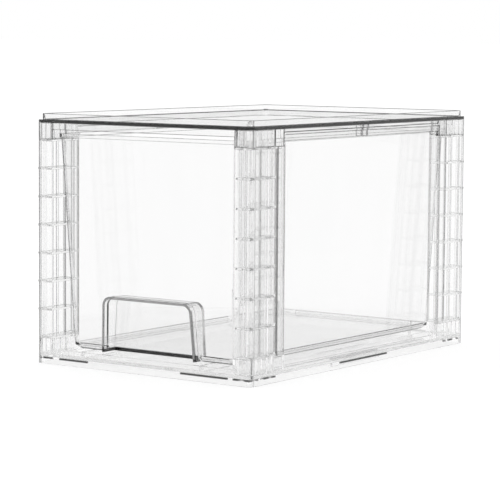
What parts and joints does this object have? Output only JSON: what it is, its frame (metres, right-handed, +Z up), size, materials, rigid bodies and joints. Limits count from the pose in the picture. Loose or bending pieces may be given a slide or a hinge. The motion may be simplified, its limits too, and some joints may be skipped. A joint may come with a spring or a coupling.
{
  "type": "shoe box",
  "caption": "Clear stackable drawer-type shoe box: open post frame with a top and a base panel, and a tapered pull-out tray with a recessed finger pull.",
  "frame": {"origin": "centre of the underside, on the surface that the box stands on", "axes": "+Z up, drawer front faces -Y, +X to the right as seen from the front"},
  "size_m": [0.216, 0.323, 0.205],
  "materials": {
    "frame_clear": "water-clear, polished mould surface",
    "tray_clear": "water-clear, polished mould surface"
  },
  "bodies": {
    "frame": {"base_panel": "frame_clear", "top_panel": "frame_clear", "post_front_left": "frame_clear", "post_front_right": "frame_clear", "post_rear_left": "frame_clear", "post_rear_right": "frame_clear"},
    "drawer": {"drawer_tray": "tray_clear"}
  },
  "joints": [
    {"name": "drawer_slide", "type": "slide", "parent": "frame", "child": "drawer", "axis": [0, -1, 0], "range_m": [0, 0.25]}
  ]
}
